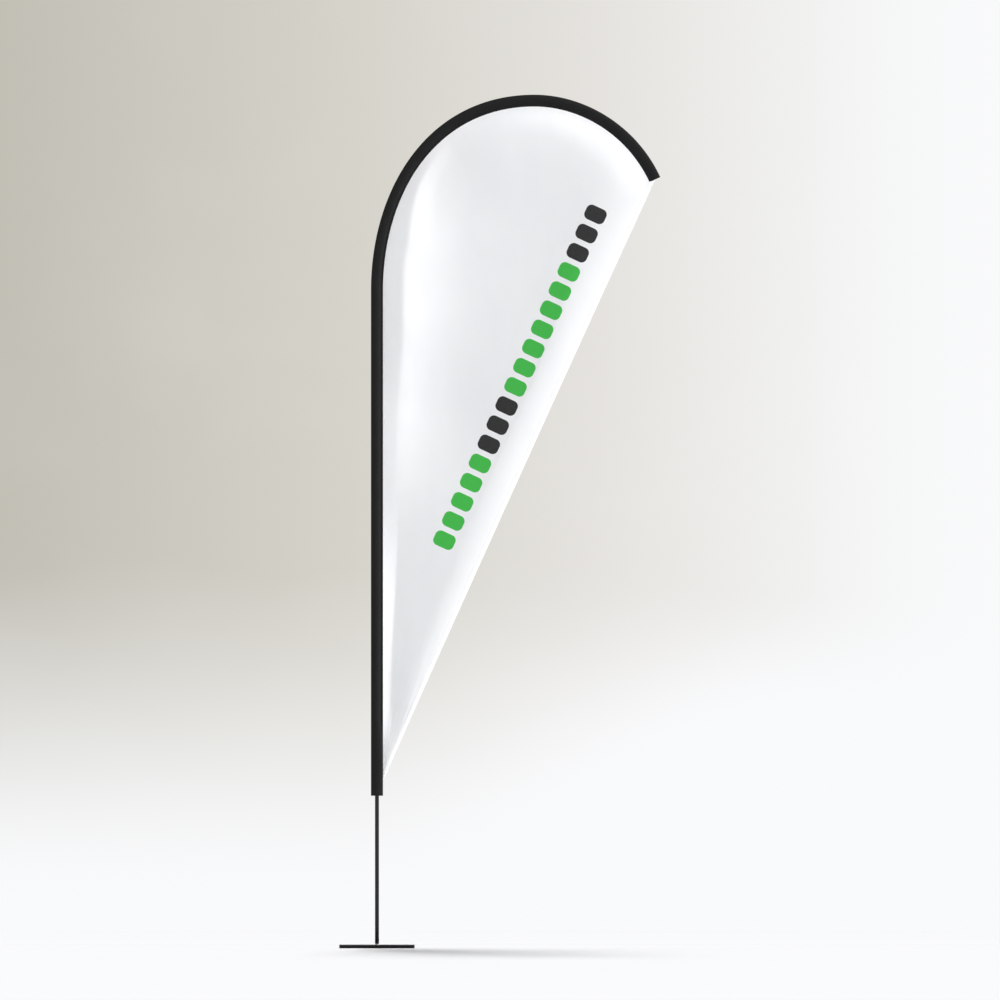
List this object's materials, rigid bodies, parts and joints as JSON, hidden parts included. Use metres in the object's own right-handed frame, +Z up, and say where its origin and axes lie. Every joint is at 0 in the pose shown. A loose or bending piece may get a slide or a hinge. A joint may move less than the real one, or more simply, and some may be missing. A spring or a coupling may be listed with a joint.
{
  "type": "teardrop flag",
  "caption": "Teardrop flag: a fabric panel held taut by a pole bent inside its sleeve, on a flat base plate whose spindle lets it turn with the wind and lift off.",
  "frame": {"origin": "centre of the mat's underside, on the pole's axis at floor level", "axes": "+Z up along the pole, +X towards the flag's free corner"},
  "size_m": [1.2783, 0.3, 3.3985],
  "materials": {
    "mat_rubber": "matte",
    "powder_coat": "fine powder coat, satin",
    "zinc_steel": "satin",
    "nylon": "satin",
    "o_ring_rubber": "matte",
    "pole_glass_fibre": "satin",
    "sleeve_fabric": "woven polyester, matte",
    "panel_fabric": "knitted polyester, matte",
    "elastic_cord": "braided, matte"
  },
  "bodies": {
    "base": {"anti_slip_mat": "mat_rubber", "base_plate": "powder_coat", "spindle_screw": "zinc_steel", "spindle_pin": "zinc_steel", "thrust_washer": "nylon", "cap_washer": "zinc_steel", "cap_screw": "zinc_steel"},
    "bearing": {"bearing_sleeve": "nylon", "o_ring_lower": "o_ring_rubber", "o_ring_upper": "o_ring_rubber"},
    "mast": {"pole_section_1": "pole_glass_fibre", "pole_section_2": "pole_glass_fibre", "pole_section_3": "pole_glass_fibre", "pole_section_4": "pole_glass_fibre", "ferrule_1": "zinc_steel", "ferrule_2": "zinc_steel", "ferrule_3": "zinc_steel", "pole_tip_cap": "nylon", "tip_pocket": "sleeve_fabric", "tension_collar": "nylon", "collar_screw": "zinc_steel", "tension_loop": "elastic_cord", "loop_anchor": "sleeve_fabric", "pole_sleeve": "sleeve_fabric", "flag_panel": "panel_fabric", "trailing_hem": "panel_fabric"}
  },
  "joints": [
    {"name": "flag_turn", "type": "hinge", "parent": "base", "child": "bearing", "pos_m": [0, 0, 0.0164], "axis": [0, 0, 1], "continuous": true},
    {"name": "pole_lift", "type": "slide", "parent": "bearing", "child": "mast", "axis": [0, 0, 1], "range_m": [0, 0.18]}
  ]
}
